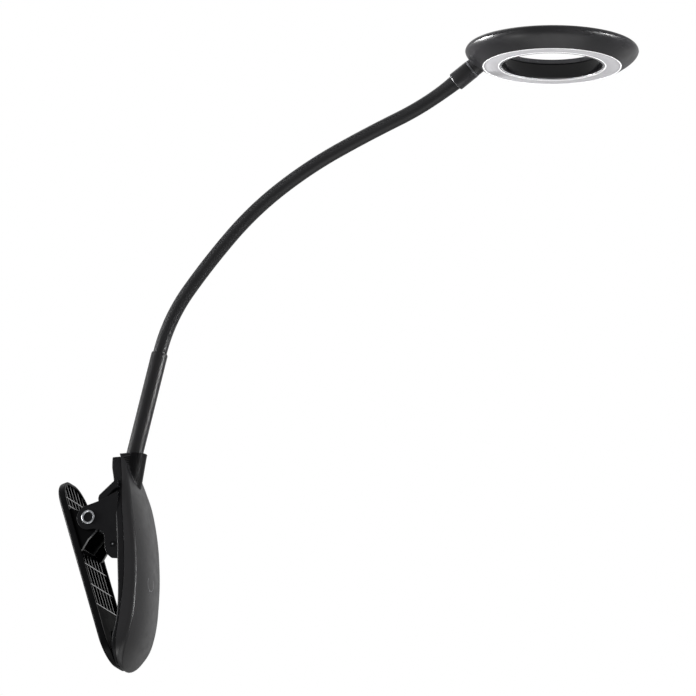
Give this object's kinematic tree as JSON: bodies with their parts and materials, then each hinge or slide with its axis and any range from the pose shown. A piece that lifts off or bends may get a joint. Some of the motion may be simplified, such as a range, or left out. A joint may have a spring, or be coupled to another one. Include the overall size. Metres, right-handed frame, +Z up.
{
  "type": "clip on reading lamp",
  "caption": "Clip-on reading lamp: sprung clamp with touch control, bendable neck and a flat ring head with a downward light.",
  "frame": {"origin": "in the flat face of the clip body's jaw pad, on the centre plane, where the lamp bears on what it is clipped to", "axes": "+Z up along the clip, +X the way the neck arches out to the head, +Y across the clip towards the charging inlet's side"},
  "size_m": [0.3289, 0.0938, 0.3256],
  "materials": {
    "black_plastic": "satin moulded, fine grain",
    "gloss_black": "polished",
    "sleeve": "smooth matt sleeve",
    "pad": "matt soft pad",
    "steel": "bright plated",
    "core_steel": "wound strip, modelled smooth",
    "copper": null,
    "brass": "turned",
    "mark": "printed light grey line",
    "board": "green laminate",
    "white_board": "white laminate",
    "cell": "foil pouch",
    "foam": "closed foam",
    "red_lead": "insulated",
    "black_lead": "insulated",
    "frosted": "opal diffuser"
  },
  "bodies": {
    "clip": {"battery_cell": "cell", "battery_foam": "foam", "battery_lead_black": "black_lead", "battery_lead_red": "red_lead", "charging_socket": "steel", "clip_front_shell": "black_plastic", "clip_rear_shell": "black_plastic", "control_board": "board", "fixed_jaw_pad": "pad", "housing_screw_1": "steel", "housing_screw_2": "steel", "housing_screw_3": "steel", "housing_screw_4": "steel", "neck_core_root": "core_steel", "neck_root_ferrule": "brass", "neck_set_screw": "steel", "neck_sleeve_root": "sleeve", "neck_wire_root": "copper", "pin_retaining_ring": "steel", "pivot_pin": "steel", "spring_rest_pin": "steel", "torsion_spring": "steel", "touch_electrode": "copper", "touch_mark": "mark"},
    "lever": {"clamp_lever": "black_plastic", "moving_jaw_pad": "pad"},
    "neck_link_1": {"neck_sleeve_1": "sleeve", "neck_core_1": "core_steel", "neck_wire_1": "copper"},
    "neck_link_2": {"neck_sleeve_2": "sleeve", "neck_core_2": "core_steel", "neck_wire_2": "copper"},
    "neck_link_3": {"neck_sleeve_3": "sleeve", "neck_core_3": "core_steel", "neck_wire_3": "copper"},
    "neck_link_4": {"neck_sleeve_4": "sleeve", "neck_core_4": "core_steel", "neck_wire_4": "copper"},
    "neck_link_5": {"neck_sleeve_5": "sleeve", "neck_core_5": "core_steel", "neck_wire_5": "copper"},
    "neck_link_6": {"neck_sleeve_6": "sleeve", "neck_core_6": "core_steel", "neck_wire_6": "copper", "head_collar": "black_plastic", "head_ferrule": "brass", "head_housing": "black_plastic", "head_inner_bezel": "gloss_black", "head_lead": "copper", "led_board": "white_board", "led_board_screw_1": "steel", "led_board_screw_2": "steel", "led_board_screw_3": "steel", "light_diffuser": "frosted"}
  },
  "joints": [
    {"name": "lever_open", "type": "hinge", "parent": "clip", "child": "lever", "pos_m": [-0.0124, 0, 0.0668], "axis": [0, 1, 0], "range_deg": [0, 30], "stiffness_Nm_per_rad": 0.5, "springref_deg": -34.38, "deforming": ["torsion_spring"]},
    {"name": "neck_nod_1", "type": "hinge", "parent": "clip", "child": "neck_link_1", "pos_m": [0.02174, 0, 0.15969], "axis": [0, 1, 0], "range_deg": [-20, 20]},
    {"name": "neck_sway_2", "type": "hinge", "parent": "neck_link_1", "child": "neck_link_2", "pos_m": [0.03843, 0, 0.19302], "axis": [-0.7837, 0, 0.6211], "range_deg": [-20, 20]},
    {"name": "neck_nod_3", "type": "hinge", "parent": "neck_link_2", "child": "neck_link_3", "pos_m": [0.06318, 0, 0.22124], "axis": [0, 1, 0], "range_deg": [-20, 20]},
    {"name": "neck_sway_4", "type": "hinge", "parent": "neck_link_3", "child": "neck_link_4", "pos_m": [0.09206, 0, 0.24513], "axis": [-0.549, 0, 0.8358], "range_deg": [-20, 20]},
    {"name": "neck_nod_5", "type": "hinge", "parent": "neck_link_4", "child": "neck_link_5", "pos_m": [0.12496, 0, 0.26314], "axis": [0, 1, 0], "range_deg": [-20, 20]},
    {"name": "neck_sway_6", "type": "hinge", "parent": "neck_link_5", "child": "neck_link_6", "pos_m": [0.15965, 0, 0.27751], "axis": [-0.3567, 0, 0.9342], "range_deg": [-20, 20]}
  ]
}
